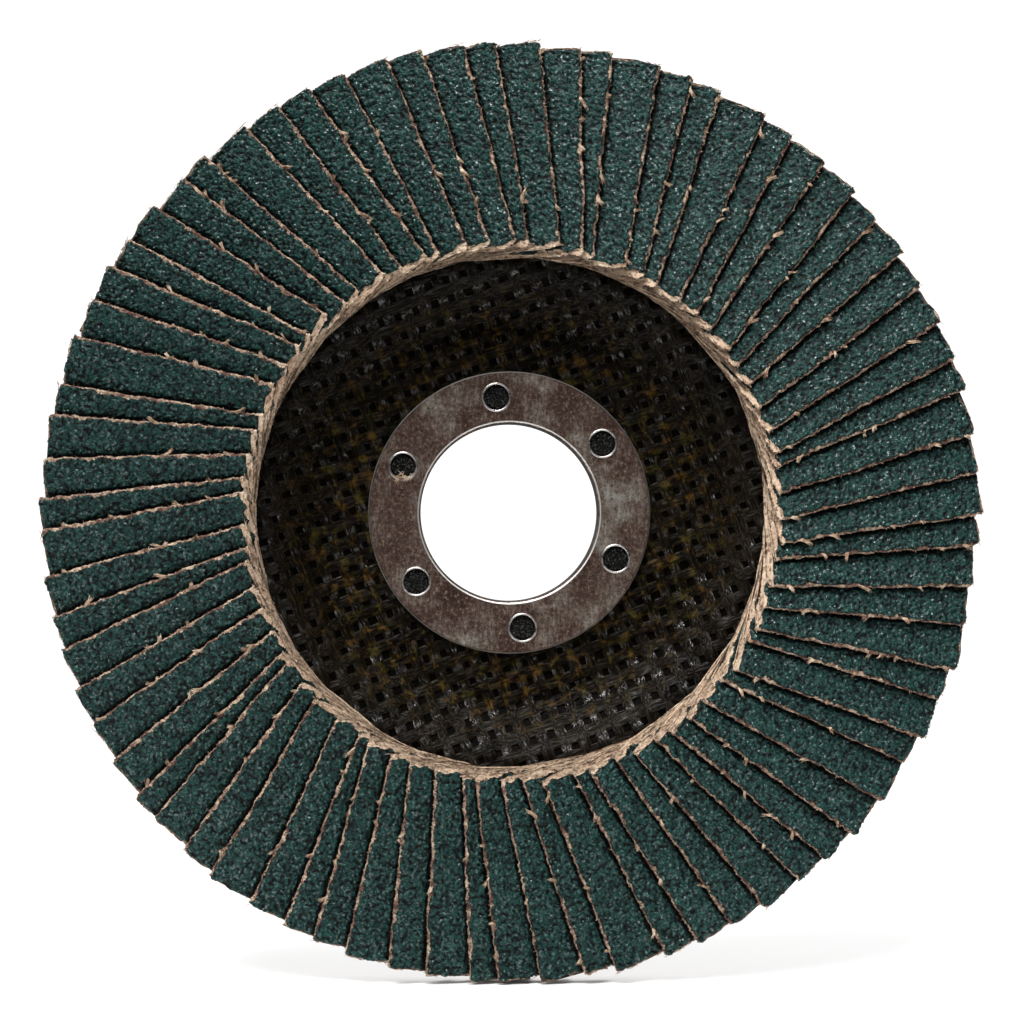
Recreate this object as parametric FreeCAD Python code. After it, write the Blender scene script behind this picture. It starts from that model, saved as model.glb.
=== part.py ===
import FreeCAD, Part
import math
import os
import random

# A 115 mm flap disc for an angle grinder, in millimetres.
# The disc stands upright: its axis is Y, the abrasive face looks along -Y, +Z is up.
# The origin is the centre of the bore, in the plane of the rear seat that rests on the grinder.
# Sizes called "front" lie towards -Y. Angles round the disc are clockwise from +Z, seen from the front.

# Steel bushing: a flat front flange and a sleeve through the plate.
bore_r = 22.23 / 2
flange_r = 35.3 / 2
flange_thick = 0.8
sleeve_wall = 0.785
sleeve_rear_lip_r = 12.75
lip_height = 0.7
entry_round = 0.45
flange_edge_break = 0.2

# Six holes in the flange, keyed by the plate's resin.
key_count = 6
key_hole_r = 1.6
key_circle_r = 29.0 / 2
key_turn = -6.5
key_boss_height = 0.5

# Backing plate: four glass plies pressed together with a depressed centre.
ply_count = 4
ply_thick = 0.7
plate_r = 50.5
centre_flat_r = 23.0
centre_depth = 4.8
knee_r = 3.5
knee_angle = math.radians(40)

# Paper label on the rear of the centre.
label_thick = 0.15
label_inner_r = 13.2
label_outer_r = 22.0

# Adhesive bed between the plate and the flaps. The flaps' roots stand in it, a little above the plate.
bed_thick = 1.2
bed_under_roots = 0.3
bed_inner_r = 32.0
bed_outer_r = 50.2

# Flaps: rectangles of coated cloth, each leaning on the next one anticlockwise.
flap_count = 75
flaps_per_node = 3
flap_width = 18.0
flap_thick = 0.85
flap_inner_x = 31.3
flap_outer_x = 56.5
lean_inner = math.radians(20)
lean_outer = math.radians(13)
first_flap_turn = -0.8

# How far the flaps differ from each other, in millimetres each way.
depth_spread = 0.75
skew_spread = 0.25
length_spread = 0.25
spread_seed = 115

ORIGIN = FreeCAD.Vector(0, 0, 0)
AXIS = FreeCAD.Vector(0, 1, 0)

sleeve_r = bore_r + sleeve_wall
ply_front_y = -(label_thick + ply_count * ply_thick)
flange_front_y = ply_front_y - flange_thick
rim_front_y = ply_front_y - centre_depth
root_y = rim_front_y - bed_under_roots


def profile_point(radius, y):
    return FreeCAD.Vector(radius, y, 0)


def line(start, end):
    return Part.LineSegment(profile_point(*start), profile_point(*end)).toShape()


def arc(start, middle, end):
    return Part.Arc(profile_point(*start), profile_point(*middle), profile_point(*end)).toShape()


def revolved(edges):
    """Turn a closed profile in the X-Y plane once round the disc's axis."""
    solid = Part.Face(Part.Wire(edges)).revolve(ORIGIN, AXIS, 360)
    if solid.Volume < 0:
        solid.reverse()
    return solid


def polygon_ring(corners):
    """A ring whose section is the polygon with these (radius, y) corners."""
    return revolved([line(a, b) for a, b in zip(corners, corners[1:] + corners[:1])])


def key_cylinders(start_y, height):
    """Six cylinders on the key circle, from start_y towards the front."""
    cylinders = []
    for i in range(key_count):
        angle = math.radians(key_turn + i * 360 / key_count)
        foot = FreeCAD.Vector(key_circle_r * math.sin(angle), start_y, key_circle_r * math.cos(angle))
        cylinders.append(Part.makeCylinder(key_hole_r, height, foot, -AXIS))
    return cylinders


def make_bushing():
    """Front flange and sleeve in one pressed piece, with a rear lip that grips the last ply."""
    quarter = entry_round * (1 - math.sqrt(0.5))
    front_round = arc(
        (bore_r, flange_front_y + entry_round),
        (bore_r + quarter, flange_front_y + quarter),
        (bore_r + entry_round, flange_front_y),
    )
    corners = [
        (bore_r + entry_round, flange_front_y),
        (flange_r - flange_edge_break, flange_front_y),
        (flange_r, flange_front_y + flange_edge_break),
        (flange_r, ply_front_y),
        (sleeve_r, ply_front_y),
        (sleeve_r, -label_thick - lip_height),
        (sleeve_rear_lip_r, -label_thick),
        (sleeve_rear_lip_r, 0),
        (bore_r, 0),
        (bore_r, flange_front_y + entry_round),
    ]
    edges = [line(a, b) for a, b in zip(corners, corners[1:])]
    return revolved(edges + [front_round]).cut(key_cylinders(ply_front_y, flange_thick))


def pressed_surface(y):
    """Edges of the plate's section at height y in the centre, from the bore outwards, and its two ends."""
    straight = (centre_depth - 2 * knee_r * (1 - math.cos(knee_angle))) / math.sin(knee_angle)
    low = (centre_flat_r, y)
    low_half = (
        centre_flat_r + knee_r * math.sin(knee_angle / 2),
        y - knee_r * (1 - math.cos(knee_angle / 2)),
    )
    low_end = (centre_flat_r + knee_r * math.sin(knee_angle), y - knee_r * (1 - math.cos(knee_angle)))
    high_start = (
        low_end[0] + straight * math.cos(knee_angle),
        low_end[1] - straight * math.sin(knee_angle),
    )
    high = (high_start[0] + knee_r * math.sin(knee_angle), y - centre_depth)
    high_half = (
        high[0] - knee_r * math.sin(knee_angle / 2),
        high[1] + knee_r * (1 - math.cos(knee_angle / 2)),
    )
    return [
        arc(low, low_half, low_end),
        line(low_end, high_start),
        arc(high_start, high_half, high),
        line(high, (plate_r, high[1])),
    ], low


def make_ply(index):
    """One pressed glass ply; index 0 is the front one. The last one is countersunk for the lip."""
    front = ply_front_y + index * ply_thick
    rear = front + ply_thick
    front_edges, front_start = pressed_surface(front)
    rear_edges, rear_start = pressed_surface(rear)
    rear_hole_r = sleeve_rear_lip_r if index == ply_count - 1 else sleeve_r
    front_corner = (sleeve_r, front)
    rear_corner = (rear_hole_r, rear)
    edges = [
        line(front_corner, front_start),
        *front_edges,
        line((plate_r, front - centre_depth), (plate_r, rear - centre_depth)),
        *rear_edges,
        line(rear_start, rear_corner),
        line(rear_corner, front_corner),
    ]
    ply = revolved(Part.sortEdges(edges)[0])
    if index == 0:
        ply = ply.fuse(key_cylinders(front, key_boss_height)).removeSplitter()
    return ply


def flap_lean(x):
    """Lean of the cloth at distance x from the axis, along the flap's own centre line."""
    return lean_inner + (x - flap_inner_x) / (flap_outer_x - flap_inner_x) * (lean_outer - lean_inner)


def flap_section(x, width, turn):
    """The flap's cross-section at x: its root stands in the bed and its clockwise edge is free."""
    lean = flap_lean(x)
    across = flap_thick * math.sin(lean)
    up = flap_thick * math.cos(lean)
    root = -flap_width * math.cos(lean) / 2
    free = root + width * math.cos(lean)
    free_height = width * math.sin(lean)
    corners = [(root, 0), (free, free_height), (free - across, free_height + up), (root - across, up)]
    points = [
        FreeCAD.Vector(
            x * math.sin(turn) + side * math.cos(turn),
            root_y - height,
            x * math.cos(turn) - side * math.sin(turn),
        )
        for side, height in corners
    ]
    return Part.makePolygon(points + points[:1])


def make_flap(index, chance):
    turn = math.radians(first_flap_turn + index * 360 / flap_count)
    width = flap_width + chance.uniform(-depth_spread, depth_spread)
    skew = chance.uniform(-skew_spread, skew_spread)
    shift = chance.uniform(-length_spread, length_spread)
    sections = [
        flap_section(flap_inner_x + shift, width - skew, turn),
        flap_section(flap_outer_x + shift, width + skew, turn),
    ]
    return Part.makeLoft(sections, True, True)


def make_flaps():
    chance = random.Random(spread_seed)
    return [make_flap(i, chance) for i in range(flap_count)]


def flap_groups(flaps):
    """Neighbouring flaps in groups, keyed by node name."""
    groups = {}
    for start in range(0, flap_count, flaps_per_node):
        name = f"flaps_{start + 1:02d}_to_{start + flaps_per_node:02d}"
        groups[name] = Part.Compound(flaps[start:start + flaps_per_node])
    return groups


def make_label():
    return polygon_ring([
        (label_inner_r, -label_thick),
        (label_outer_r, -label_thick),
        (label_outer_r, 0),
        (label_inner_r, 0),
    ])


def make_bed(flaps):
    """A flat ring of adhesive that fills the space between the flaps' roots."""
    ring = polygon_ring([
        (bed_inner_r, rim_front_y - bed_thick),
        (bed_outer_r, rim_front_y - bed_thick),
        (bed_outer_r, rim_front_y),
        (bed_inner_r, rim_front_y),
    ])
    return ring.cut(flaps)


def all_nodes():
    flaps = make_flaps()
    nodes = {
        "steel_bushing": make_bushing(),
        "rear_label": make_label(),
        "adhesive_bed": make_bed(flaps),
    }
    ply_names = ["glass_ply_front", "glass_ply_inner_front", "glass_ply_inner_rear", "glass_ply_rear"]
    for index, name in enumerate(ply_names):
        nodes[name] = make_ply(index)
    nodes.update(flap_groups(flaps))
    return nodes


os.makedirs("parts", exist_ok=True)
for node_name, shape in all_nodes().items():
    shape.exportStep(f"parts/{node_name}.step")
    print(node_name, "solids", len(shape.Solids), "valid", shape.isValid(), "mm3", round(shape.Volume, 1))
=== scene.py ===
import math

import bmesh
import bpy
import numpy as np
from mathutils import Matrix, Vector


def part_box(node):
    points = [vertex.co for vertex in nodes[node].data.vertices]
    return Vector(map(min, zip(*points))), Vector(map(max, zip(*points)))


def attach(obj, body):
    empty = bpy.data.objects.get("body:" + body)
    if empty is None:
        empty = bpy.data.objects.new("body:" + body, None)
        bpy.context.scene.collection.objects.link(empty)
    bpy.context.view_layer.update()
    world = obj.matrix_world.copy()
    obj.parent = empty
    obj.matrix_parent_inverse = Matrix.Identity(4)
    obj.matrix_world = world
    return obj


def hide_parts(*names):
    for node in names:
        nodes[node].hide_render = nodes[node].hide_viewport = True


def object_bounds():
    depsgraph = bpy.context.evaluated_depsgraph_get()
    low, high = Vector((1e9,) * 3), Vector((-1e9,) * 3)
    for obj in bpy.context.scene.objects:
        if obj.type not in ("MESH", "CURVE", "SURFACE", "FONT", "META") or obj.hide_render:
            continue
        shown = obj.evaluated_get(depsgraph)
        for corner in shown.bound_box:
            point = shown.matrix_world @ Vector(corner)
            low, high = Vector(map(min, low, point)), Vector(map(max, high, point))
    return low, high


# An abrasive flap disc for an angle grinder. Sizes are in millimetres until mesh_object() makes them metres.
# The disc's axis is Y, its abrasive face looks along -Y and it stands on its edge.
# Angles round the disc are clockwise from +Z, seen from the front.
MM = 0.001
RANDOM_SEED = 75

# Flaps, as the CAD part lays them out.
FLAP_COUNT = 75
FLAP_PITCH = 2 * math.pi / FLAP_COUNT
FIRST_FLAP_TURN = math.radians(-0.8)
FLAPS_INNER_R = 33.0

# The make-up of one flap. The cloth is the lower share of its thickness.
CLOTH_SHARE = 0.55
GRAIN_PITCH = 0.40
GRAIN_DEPTH = 0.34
EXPOSED_WIDTH = 6.3
ROOT_BARE = 0.3
SAG_DEPTH = 0.28
SAG_REACH = 1.0
CORNER_WEAR = 0.30

# How far apart the points of a flap's mesh and the samples of its tiles are.
TOP_STEP = 0.13
EDGE_STEP = 0.08
SECTION_STEP = 0.15
UNDER_POINTS = 14
GRAIN_TILE_STEP = 0.05
GRAIN_TILE_COUNT = 512
FUZZ_TILE_STEP = 0.11

# Materials of a flap's mesh, in the order of its slots.
SOILED, GRAINED, CLEAN = 0, 1, 2

# Loose fibres.
FIBRE_SEGMENTS = 4
STUB_CURL = 0.35
TUFT_CURL = 0.14
EDGE_STUBS = 90
INNER_END_STUBS = 170
OUTER_END_STUBS = 60
THREAD_PIECES = 5

# The woven glass mesh in the plies.
STRAND_PITCH = 2.3
STRAND_WIDTH = 1.56
STRAND_RISE = 0.15
STRAND_CROWN = 0.17
STRAND_DEPTH = 0.12
STRAND_SINK = 0.46
WEAVE_ANGLE = math.radians(20)
WEAVE_OUTER_R = 32.8
FRONT_STRAND_STEP = 0.28
REAR_STRAND_STEP = 0.52

# The bushing's bore and flange, and the keying holes in it.
BORE_EDGE_R = 11.40
# Painted shade: between these two radii the steel turns near black, and it stays black on the bore's wall
# inside them.
BORE_SHADE_FULL_R = 11.14
BORE_SHADE_START_R = 11.22
FLANGE_EDGE_R = 17.62
KEY_COUNT = 6
KEY_SPACING = 60
KEY_TURN = -6.5
KEY_CIRCLE_R = 14.5
KEY_HOLE_R = 1.6
PLUG_R = 1.58
PLUG_HEIGHT = 0.32
PLUG_SIDES = 24
BURR_R = 1.72
BURR_WIDTH = 0.32
BURR_HEIGHT = 0.10
LINT_STRANDS = 60

# The viewpoint: distance from the flaps, offset from the axis, and how wide a field it frames there.
CAMERA_DISTANCE = 300.0
CAMERA_LEFT = 10.0
CAMERA_UP = -2.0
FRAME_WIDTH = 124.0

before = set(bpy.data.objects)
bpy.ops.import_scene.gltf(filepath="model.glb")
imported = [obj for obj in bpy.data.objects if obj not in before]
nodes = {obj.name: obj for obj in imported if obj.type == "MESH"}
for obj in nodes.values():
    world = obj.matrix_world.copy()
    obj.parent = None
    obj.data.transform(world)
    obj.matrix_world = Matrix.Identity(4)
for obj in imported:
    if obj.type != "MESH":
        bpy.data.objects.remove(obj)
cad_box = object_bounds()
chance = np.random.default_rng(RANDOM_SEED)


# ---------------------------------------------------------------- mesh helpers

def mesh_object(name, points, faces, materials, face_materials=None, height=None):
    """A new mesh object from points in millimetres; height is a value per point for the materials."""
    mesh = bpy.data.meshes.new(name)
    mesh.from_pydata((np.asarray(points) * MM).tolist(), [], faces)
    for material in materials:
        mesh.materials.append(material)
    if face_materials is not None:
        mesh.polygons.foreach_set("material_index", np.asarray(face_materials, dtype=np.int32))
    mesh.polygons.foreach_set("use_smooth", np.full(len(mesh.polygons), True))
    if height is not None:
        mesh.attributes.new("height", "FLOAT", "POINT").data.foreach_set("value", height.astype(np.float32))
    mesh.update()
    piece = bpy.data.objects.new(name, mesh)
    bpy.context.scene.collection.objects.link(piece)
    return piece


def grid_faces(rows, columns, closed_rows=False, closed_columns=False):
    """Quads of a grid of rows x columns points, numbered row by row."""
    row = np.arange(rows if closed_rows else rows - 1)[:, None]
    column = np.arange(columns if closed_columns else columns - 1)[None, :]
    next_row = (row + 1) % rows
    next_column = (column + 1) % columns
    quads = np.stack(
        [
            row * columns + column,
            row * columns + next_column,
            next_row * columns + next_column,
            next_row * columns + column,
        ],
        axis=-1,
    )
    return quads.reshape(-1, 4).tolist()


def loose_solids(node):
    """The separate solids of a CAD node, each as an array of its points in millimetres."""
    work = bmesh.new()
    work.from_mesh(node.data)
    bmesh.ops.remove_doubles(work, verts=work.verts, dist=1e-7)
    left = set(work.verts)
    solids = []
    while left:
        waiting = [left.pop()]
        points = []
        while waiting:
            vertex = waiting.pop()
            points.append(tuple(vertex.co))
            for edge in vertex.link_edges:
                other = edge.other_vert(vertex)
                if other in left:
                    left.discard(other)
                    waiting.append(other)
        solids.append(np.array(points) / MM)
    work.free()
    return solids


def surface_profile(node_name, side):
    """Radius and y of a turned node's front (side -1) or rear (side +1) surface, sorted by radius."""
    mesh = nodes[node_name].data
    points = np.empty(len(mesh.vertices) * 3, dtype=np.float32)
    mesh.vertices.foreach_get("co", points)
    points = points.reshape(-1, 3) / MM
    radius = np.round(np.hypot(points[:, 0], points[:, 2]), 2)
    outline = {}
    for r, y in zip(radius.tolist(), points[:, 1].tolist()):
        outline[r] = side * max(side * y, side * outline.get(r, y))
    radii = np.array(sorted(outline))
    return radii, np.array([outline[r] for r in radii])


def wander(count, step, scale, size):
    """A smooth random line: count values, step apart, with bumps about scale long and size high."""
    knots = max(int(count * step / scale) + 3, 4)
    values = chance.uniform(-size, size, knots)
    at = np.arange(count) * step / scale + 0.5
    return np.interp(at, np.arange(knots), values)


# ---------------------------------------------------------------- materials

def new_material(name):
    material = bpy.data.materials.new(name)
    material.use_nodes = True
    return material, material.node_tree, material.node_tree.nodes["Principled BSDF"]


def place(tree, stretch=(1, 1, 1), turn=0.0):
    """The object's own coordinates, in metres, turned about the disc's axis and then stretched."""
    coordinates = tree.nodes.new("ShaderNodeTexCoord")
    turned = tree.nodes.new("ShaderNodeMapping")
    turned.inputs["Rotation"].default_value = (0, turn, 0)
    tree.links.new(coordinates.outputs["Object"], turned.inputs["Vector"])
    stretched = tree.nodes.new("ShaderNodeMapping")
    stretched.inputs["Scale"].default_value = stretch
    tree.links.new(turned.outputs["Vector"], stretched.inputs["Vector"])
    return stretched.outputs["Vector"]


def round_the_disc(tree, stretch):
    """Object coordinates unrolled round the axis: arc length at the flaps' inner ends, depth and radius."""
    at = place(tree)
    axes = split(tree, at)
    arc = times(tree, sums(tree, "ARCTAN2", axes["X"], axes["Z"]), FLAPS_INNER_R * MM * stretch)
    unrolled = tree.nodes.new("ShaderNodeCombineXYZ")
    tree.links.new(arc, unrolled.inputs["X"])
    tree.links.new(axes["Y"], unrolled.inputs["Y"])
    tree.links.new(ring_distance(tree, at), unrolled.inputs["Z"])
    return unrolled.outputs["Vector"]


def noise(tree, size_mm, vector, detail=3.0, rough=0.55):
    node = tree.nodes.new("ShaderNodeTexNoise")
    node.inputs["Scale"].default_value = 1 / (size_mm * MM)
    node.inputs["Detail"].default_value = detail
    node.inputs["Roughness"].default_value = rough
    tree.links.new(vector, node.inputs["Vector"])
    return node.outputs["Fac"]


def cells(tree, size_mm, vector, feature="F1", output="Distance"):
    node = tree.nodes.new("ShaderNodeTexVoronoi")
    node.feature = feature
    node.inputs["Scale"].default_value = 1 / (size_mm * MM)
    tree.links.new(vector, node.inputs["Vector"])
    return node.outputs[output]


def ramp(tree, value, stops):
    """A colour ramp; stops are (position, colour) and a single number stands for a grey."""
    node = tree.nodes.new("ShaderNodeValToRGB")
    elements = node.color_ramp.elements
    while len(elements) < len(stops):
        elements.new(0.5)
    for element, (position, colour) in zip(elements, stops):
        element.position = position
        element.color = (*(grey(colour) if isinstance(colour, (int, float)) else colour), 1)
    tree.links.new(value, node.inputs["Fac"])
    return node.outputs["Color"]


def mixed(tree, share, first, second):
    """Blends two colours, each a socket or a tuple; share is a socket or a number."""
    node = tree.nodes.new("ShaderNodeMix")
    node.data_type = "RGBA"
    for socket, value in ((node.inputs[0], share), (node.inputs[6], first), (node.inputs[7], second)):
        if isinstance(value, bpy.types.NodeSocket):
            tree.links.new(value, socket)
        elif isinstance(value, tuple):
            socket.default_value = (*value, 1)
        else:
            socket.default_value = value
    return node.outputs[2]


def sums(tree, operation, first, second):
    """A maths node on two values, each a socket or a number."""
    node = tree.nodes.new("ShaderNodeMath")
    node.operation = operation
    for socket, value in zip(node.inputs, (first, second)):
        if isinstance(value, bpy.types.NodeSocket):
            tree.links.new(value, socket)
        else:
            socket.default_value = value
    return node.outputs[0]


def times(tree, first, second):
    return sums(tree, "MULTIPLY", first, second)


def split(tree, vector):
    """The X, Y and Z sockets of a vector."""
    node = tree.nodes.new("ShaderNodeSeparateXYZ")
    tree.links.new(vector, node.inputs["Vector"])
    return node.outputs


def graded(tree, value, low, high, top=1.0):
    """A share that rises from 0 to top as the value goes from low to high millimetres."""
    node = tree.nodes.new("ShaderNodeMapRange")
    node.inputs["From Min"].default_value = low * MM
    node.inputs["From Max"].default_value = high * MM
    node.inputs["To Max"].default_value = top
    tree.links.new(value, node.inputs["Value"])
    return node.outputs["Result"]


def grey(level):
    return (level, level, level)


def bump(tree, shader, layers):
    """Stacks bumps on the shader's normal; each layer is (height socket, depth in millimetres, strength)."""
    normal = None
    for height, depth, strength in layers:
        node = tree.nodes.new("ShaderNodeBump")
        node.inputs["Distance"].default_value = depth * MM
        node.inputs["Strength"].default_value = strength
        tree.links.new(height, node.inputs["Height"])
        if normal is not None:
            tree.links.new(normal, node.inputs["Normal"])
        normal = node.outputs["Normal"]
    tree.links.new(normal, shader.inputs["Normal"])


def grain_material():
    """Dark green abrasive grains under a resin coat, bright on a few facets, with painted shade: near black
    where the height is low, in the gaps between grains and in a band beside the edge of the flap above.
    """
    material, tree, shader = new_material("abrasive_grain")
    at = place(tree)
    patches = noise(tree, 5.0, at, 2)
    speckle = noise(tree, 0.20, at, 2, 0.7)
    tone = tree.nodes.new("ShaderNodeSeparateColor")
    tree.links.new(cells(tree, 0.26, at, output="Color"), tone.inputs["Color"])
    coat = tree.nodes.new("ShaderNodeAttribute")
    coat.attribute_name = "height"
    height = coat.outputs["Fac"]
    greens = [(0.32, (0.0010, 0.010, 0.008)), (0.50, (0.0060, 0.040, 0.033)), (0.70, (0.030, 0.125, 0.102))]
    base = ramp(tree, speckle, greens)
    base = mixed(tree, times(tree, tone.outputs["Red"], 0.4), base, (0.008, 0.020, 0.026))
    pale = ramp(tree, tone.outputs["Green"], [(0.88, 0.0), (0.96, 0.5)])
    base = mixed(tree, pale, base, (0.110, 0.200, 0.180))
    base = mixed(tree, times(tree, patches, 0.3), base, (0.006, 0.018, 0.018))
    # Painted shade: low heights are painted near black. These are the gaps between grains and the band beside
    # the covering edge.
    gap = ramp(tree, height, [(0.24, 1.0), (0.64, 0.0)])
    base = mixed(tree, gap, base, (0.0008, 0.0020, 0.0018))
    tree.links.new(base, shader.inputs["Base Color"])
    glint = ramp(tree, tone.outputs["Blue"], [(0.80, 0.0), (0.90, 1.0)])
    glint = times(tree, glint, ramp(tree, height, [(0.35, 0.0), (0.6, 1.0)]))
    tree.links.new(mixed(tree, glint, grey(0.42), grey(0.16)), shader.inputs["Roughness"])
    tree.links.new(mixed(tree, glint, grey(0.16), grey(1.0)), shader.inputs["Specular IOR Level"])
    bump(tree, shader, [(speckle, 0.08, 0.9), (cells(tree, 0.22, at), 0.08, 0.9)])
    return material


def cloth_material(name, soiled):
    """Tan backing cloth: yarns, loose fibres, and brown stains where it is soiled."""
    material, tree, shader = new_material(name)
    at = place(tree)
    broad = noise(tree, 2.6, at, 3)
    fine = noise(tree, 0.28, at, 4, 0.7)
    tans = [(0.28, (0.400, 0.245, 0.170)), (0.50, (0.690, 0.510, 0.360)), (0.72, (0.880, 0.730, 0.560))]
    fibres = [(0.30, (0.150, 0.080, 0.058)), (0.55, (0.690, 0.520, 0.370)), (0.80, (0.920, 0.800, 0.650))]
    base = mixed(tree, 0.55, ramp(tree, broad, tans), ramp(tree, fine, fibres))
    yarns = noise(tree, 0.42, round_the_disc(tree, 0.22), 3, 0.7)
    base = mixed(tree, ramp(tree, yarns, [(0.38, 0.90), (0.51, 0.0)]), base, (0.125, 0.075, 0.050))
    if soiled:
        stain = ramp(tree, noise(tree, 1.3, at, 4, 0.7), [(0.42, 0.95), (0.60, 0.20)])
        base = mixed(tree, stain, base, (0.080, 0.038, 0.031))
    tree.links.new(base, shader.inputs["Base Color"])
    shader.inputs["Roughness"].default_value = 0.92
    shader.inputs["Specular IOR Level"].default_value = 0.15
    bump(tree, shader, [(fine, 0.12, 1.0), (yarns, 0.22, 1.0)])
    return material


def thread_material():
    """Loose cotton threads, paler than the cloth that they come from."""
    material, tree, shader = new_material("frayed_thread")
    at = place(tree)
    cottons = [(0.36, (0.150, 0.082, 0.056)), (0.50, (0.500, 0.350, 0.240)), (0.68, (0.800, 0.660, 0.510))]
    base = ramp(tree, noise(tree, 0.9, at, 3, 0.6), cottons)
    tree.links.new(base, shader.inputs["Base Color"])
    shader.inputs["Roughness"].default_value = 0.85
    shader.inputs["Specular IOR Level"].default_value = 0.2
    bump(tree, shader, [(noise(tree, 0.06, at, 2), 0.02, 0.6)])
    return material


def ring_distance(tree, at):
    """Distance from the disc's axis, in metres."""
    flat = tree.nodes.new("ShaderNodeVectorMath")
    flat.operation = "MULTIPLY"
    flat.inputs[1].default_value = (1, 0, 1)
    tree.links.new(at, flat.inputs[0])
    length = tree.nodes.new("ShaderNodeVectorMath")
    length.operation = "LENGTH"
    tree.links.new(flat.outputs[0], length.inputs[0])
    return length.outputs["Value"]


def weave_crossings(tree):
    """Peaks at 1 in the middle of every strand crossing and falls to 0 between them."""
    axes = split(tree, place(tree, (1, 1, 1), WEAVE_ANGLE))
    waves = []
    for axis in ("X", "Z"):
        phase = times(tree, axes[axis], math.pi / (STRAND_PITCH * MM))
        waves.append(sums(tree, "SINE", phase, 0.0))
    return sums(tree, "ABSOLUTE", times(tree, *waves), 0.0)


def strand_material(name, stretch, shine):
    """Glass strands soaked in black resin: amber where it is thin, shiny where the glass is bare.

    Beside the flange the film of resin is darker and duller.
    """
    material, tree, shader = new_material(name)
    at = place(tree)
    broad = noise(tree, 6.0, at, 3)
    spots = noise(tree, 1.1, at, 3, 0.6)
    filaments = noise(tree, 0.26, place(tree, stretch, WEAVE_ANGLE), 2)
    base = ramp(tree, broad, [(0.30, (0.0017, 0.0011, 0.0004)), (0.75, (0.0080, 0.0054, 0.0026))])
    pale = ramp(tree, filaments, [(0.52, 0.0), (0.75, 0.5)])
    base = mixed(tree, pale, base, (0.032, 0.0235, 0.0150))
    inner = graded(tree, ring_distance(tree, at), 30.0, 24.0)
    base = mixed(tree, times(tree, inner, 0.45), base, (0.0018, 0.0011, 0.0004))
    share = times(tree, ramp(tree, spots, [(0.48, 0.0), (0.64, 1.0)]), inner)
    share = times(tree, share, ramp(tree, weave_crossings(tree), [(0.10, 0.10), (0.80, 0.65)]))
    share = times(tree, share, ramp(tree, filaments, [(0.35, 0.3), (0.60, 1.0)]))
    ambers = [(0.42, (0.066, 0.054, 0.007)), (0.58, (0.115, 0.060, 0.010))]
    amber = ramp(tree, noise(tree, 2.4, at, 2), ambers)
    base = mixed(tree, share, base, amber)
    tree.links.new(base, shader.inputs["Base Color"])
    between = ramp(tree, weave_crossings(tree), [(0.10, 1.0), (0.55, 0.0)])
    bare = times(tree, between, ramp(tree, noise(tree, 1.4, at, 4, 0.7), [(0.48, 0.0), (0.60, 1.0)]))
    bare = times(tree, bare, ramp(tree, filaments, [(0.44, 0.0), (0.54, 1.0)]))
    tree.links.new(mixed(tree, bare, grey(0.50), grey(0.22)), shader.inputs["Roughness"])
    dull = sums(tree, "SUBTRACT", 1.0, times(tree, inner, 0.5))
    film = times(tree, ramp(tree, filaments, [(0.40, 0.04), (0.62, 0.20)]), dull)
    gloss = sums(tree, "ADD", times(tree, bare, shine), film)
    tree.links.new(gloss, shader.inputs["Specular IOR Level"])
    bump(tree, shader, [(filaments, 0.16, 1.0), (noise(tree, 0.6, at, 3), 0.10, 0.6)])
    return material


def resin_material():
    """The black resin between and under the strands."""
    material, tree, shader = new_material("black_resin")
    at = place(tree)
    broad = noise(tree, 2.2, at, 3)
    base = ramp(tree, broad, [(0.35, (0.0006, 0.0005, 0.0003)), (0.70, (0.0028, 0.0020, 0.0012))])
    tree.links.new(base, shader.inputs["Base Color"])
    rough = ramp(tree, noise(tree, 1.2, at, 2), [(0.3, 0.35), (0.7, 0.60)])
    tree.links.new(rough, shader.inputs["Roughness"])
    shader.inputs["Specular IOR Level"].default_value = 0.02
    bump(tree, shader, [(noise(tree, 0.45, at, 3), 0.12, 0.8)])
    return material


def plug_material():
    """Black resin in the keying holes, with pale flecks: specks of abrasive in it, and also painted sparkle.
    """
    material, tree, shader = new_material("gritty_resin")
    at = place(tree)
    grit_and_sparkle = noise(tree, 0.22, at, 3, 0.8)
    # Pale flecks in the base colour: specks of abrasive, and also a painted sparkle.
    base = ramp(tree, grit_and_sparkle, [(0.55, (0.0010, 0.0010, 0.0008)), (0.66, (0.110, 0.106, 0.094))])
    tree.links.new(base, shader.inputs["Base Color"])
    shader.inputs["Roughness"].default_value = 0.25
    shader.inputs["Specular IOR Level"].default_value = 0.10
    bump(tree, shader, [(grit_and_sparkle, 0.22, 1.0)])
    return material


def ply_edge_material():
    """Cut glass plies seen at the plate's rim: dark resin with dull brown glass ends."""
    material, tree, shader = new_material("ply_edge")
    at = place(tree)
    ends = noise(tree, 0.35, place(tree, (1, 3, 1)), 3)
    browns = [(0.35, (0.010, 0.008, 0.007)), (0.60, (0.060, 0.042, 0.026)), (0.80, (0.160, 0.125, 0.085))]
    base = ramp(tree, ends, browns)
    tree.links.new(base, shader.inputs["Base Color"])
    shader.inputs["Roughness"].default_value = 0.6
    bump(tree, shader, [(ends, 0.1, 0.7), (noise(tree, 1.5, at, 2), 0.15, 0.5)])
    return material


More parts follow.
